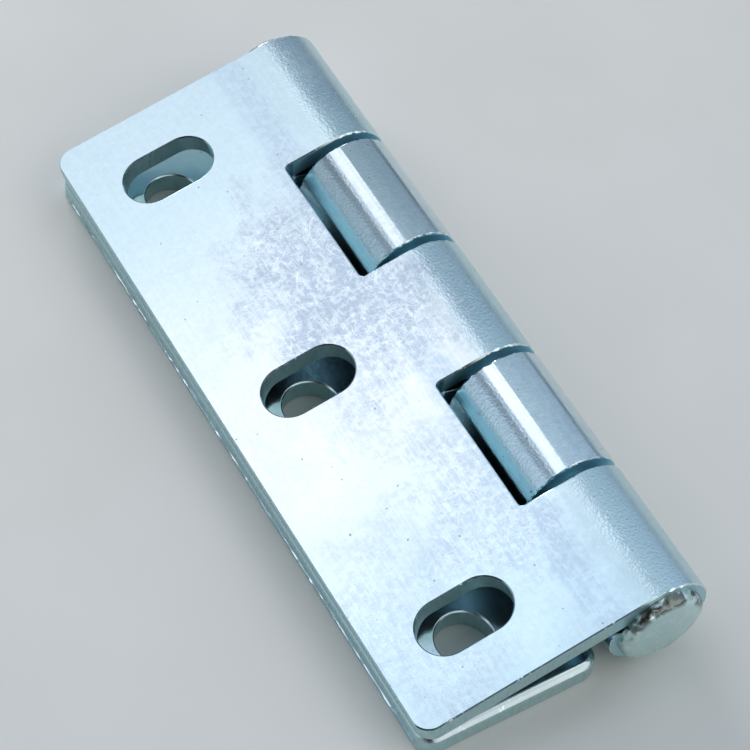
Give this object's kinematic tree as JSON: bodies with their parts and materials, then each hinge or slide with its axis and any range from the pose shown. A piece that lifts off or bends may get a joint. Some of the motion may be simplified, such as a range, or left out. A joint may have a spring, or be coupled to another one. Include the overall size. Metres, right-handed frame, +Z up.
{
  "type": "cabinet butt hinge",
  "caption": "Heavy steel butt hinge for a cabinet door: leaves rolled into interleaved knuckles on a riveted pin, one leaf with round bolt holes and the other with oblong slots.",
  "frame": {"origin": "centre of the middle bolt hole, on the outer face of the lower leaf", "axes": "+Z up out of the mounting face of the lower leaf, through the shut hinge; +Y along the pin; +X across the leaves towards the barrel"},
  "size_m": [0.0494, 0.1238, 0.0171],
  "materials": {
    "leaf_zinc": "blue-white bright zinc plate with fine handling scratches",
    "pin_zinc": "blue-white zinc plate over a hammered rivet head"
  },
  "bodies": {
    "cabinet_leaf": {"lower_leaf": "leaf_zinc"},
    "door_leaf": {"upper_leaf": "leaf_zinc", "hinge_pin": "pin_zinc"}
  },
  "joints": [
    {"name": "leaf_swing", "type": "hinge", "parent": "cabinet_leaf", "child": "door_leaf", "pos_m": [0.0255, 0, 0.00855], "axis": [0, 1, 0], "range_deg": [0, 270]}
  ]
}
